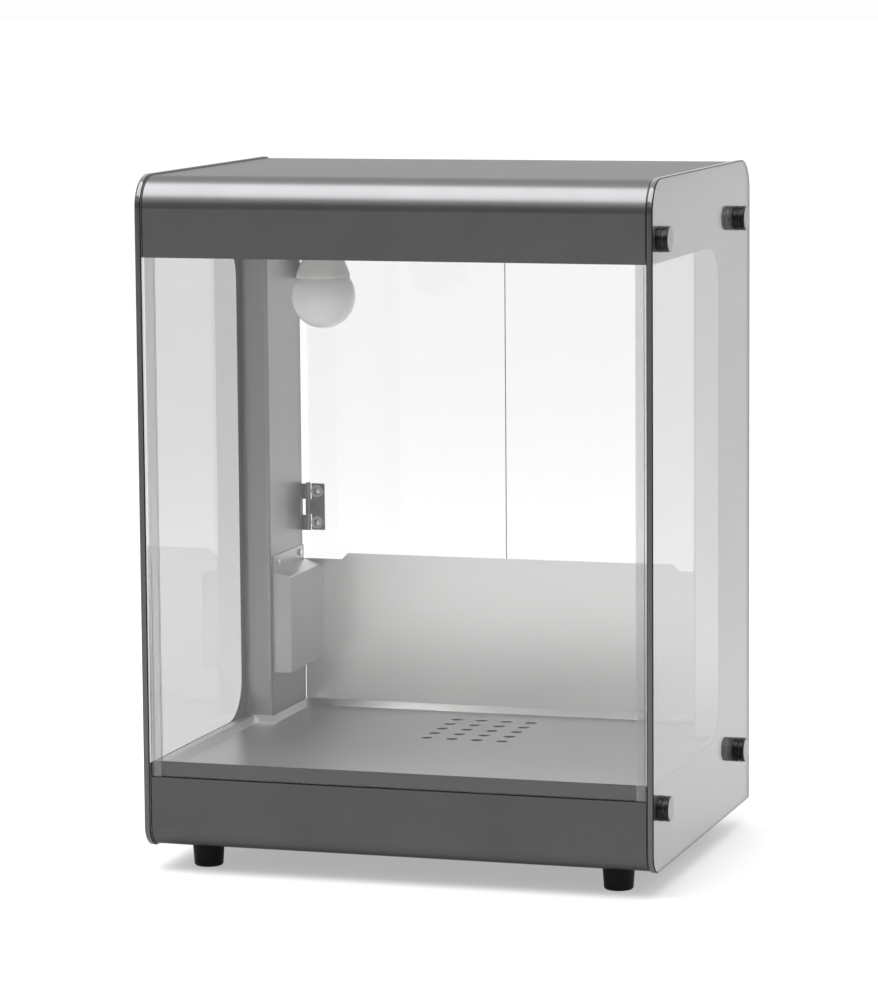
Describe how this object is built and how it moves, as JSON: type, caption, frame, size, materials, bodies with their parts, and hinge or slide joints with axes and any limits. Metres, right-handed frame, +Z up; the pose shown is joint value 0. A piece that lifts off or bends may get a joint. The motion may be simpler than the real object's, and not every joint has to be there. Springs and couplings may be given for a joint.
{
  "type": "bakery display case",
  "caption": "Counter-top display case with clamped side glasses, a front glass, two clear hinged rear doors, a perforated floor and a lamp.",
  "frame": {"origin": "middle of the bounding box at counter height: halfway between the knobs on the right glass and the screw heads on the left one, and halfway between the glasses' front edges and the door pulls", "axes": "+X to the right seen from the front, +Y to the rear where the doors are, +Z up"},
  "size_m": [0.4934, 0.3784, 0.6375],
  "materials": {
    "tempered_glass": "clear, polished edges",
    "glass_print": "anthracite enamel printed on the inner face",
    "clear_profile": "clear extruded plastic",
    "clear_acrylic": "clear cast acrylic",
    "anthracite_paint": "fine satin powder coat",
    "frame_paint": "satin powder coat",
    "stainless": "brushed",
    "hinge_steel": "satin stamped steel",
    "zinc_screws": "bright zinc plated",
    "galvanised_steel": "galvanised",
    "black_steel": "black zinc plated",
    "door_pulls": "turned and satin",
    "magnet_housing": "moulded",
    "black_plastic": "moulded, fine grain",
    "rocker_plastic": "moulded, glossy",
    "foot_rubber": "moulded rubber",
    "opal_diffuser": "opal, satin",
    "white_plastic": "moulded",
    "nickel_cap": "nickel plated",
    "lead_sheath": "white sheath"
  },
  "bodies": {
    "root": {"left_side_glass": "tempered_glass", "right_side_glass": "tempered_glass", "front_glass": "tempered_glass", "left_side_print": "glass_print", "right_side_print": "glass_print", "left_glass_channel": "clear_profile", "right_glass_channel": "clear_profile", "left_frame_leaves": "hinge_steel", "right_frame_leaves": "hinge_steel", "left_hinge_pins": "hinge_steel", "right_hinge_pins": "hinge_steel", "knob_caps": "black_plastic", "knob_collars": "black_plastic", "glass_screws": "black_steel", "knob_studs": "zinc_screws", "top_cover": "anthracite_paint", "base_shell": "anthracite_paint", "base_frame": "frame_paint", "ceiling_panel": "stainless", "cover_screws": "zinc_screws", "left_rear_post": "stainless", "right_rear_post": "stainless", "wiring_cover": "stainless", "wiring_cover_screws": "zinc_screws", "rear_panel": "stainless", "door_stop": "stainless", "floor_tray": "stainless", "hinge_frame_screws": "zinc_screws", "door_magnets": "magnet_housing", "side_nuts": "zinc_screws", "bulb_diffuser": "opal_diffuser", "bulb_body": "white_plastic", "bulb_cap": "nickel_cap", "lamp_holder": "white_plastic", "lamp_holder_ring": "white_plastic", "lamp_lead": "lead_sheath", "terminal_block": "white_plastic", "drawer_runners": "galvanised_steel", "switch_housing": "black_plastic", "power_inlet": "black_plastic", "inlet_blades": "nickel_cap", "feet": "foot_rubber", "foot_screws": "zinc_screws"},
    "left_door": {"left_door_panel": "clear_acrylic", "left_door_leaves": "hinge_steel", "left_door_screws": "zinc_screws", "left_door_nuts": "zinc_screws", "left_door_knob": "door_pulls", "left_door_strike": "hinge_steel"},
    "right_door": {"right_door_panel": "clear_acrylic", "right_door_leaves": "hinge_steel", "right_door_screws": "zinc_screws", "right_door_nuts": "zinc_screws", "right_door_knob": "door_pulls", "right_door_strike": "hinge_steel"},
    "crumb_drawer": {"crumb_drawer": "stainless", "drawer_front": "stainless", "drawer_pull": "stainless"},
    "rocker": {"rocker_switch": "rocker_plastic"}
  },
  "joints": [
    {"name": "left_door_hinge", "type": "hinge", "parent": "root", "child": "left_door", "pos_m": [-0.20655, 0.1726, 0.417], "axis": [0, 0, 1], "range_deg": [0, 95]},
    {"name": "right_door_hinge", "type": "hinge", "parent": "root", "child": "right_door", "pos_m": [0.19805, 0.1726, 0.417], "axis": [0, 0, -1], "range_deg": [0, 95]},
    {"name": "crumb_drawer_slide", "type": "slide", "parent": "root", "child": "crumb_drawer", "axis": [0, 1, 0], "range_m": [0, 0.2]},
    {"name": "rocker_tilt", "type": "hinge", "parent": "root", "child": "rocker", "pos_m": [-0.14625, 0.1703, 0.062], "axis": [1, 0, 0], "range_deg": [-20, 0]}
  ]
}
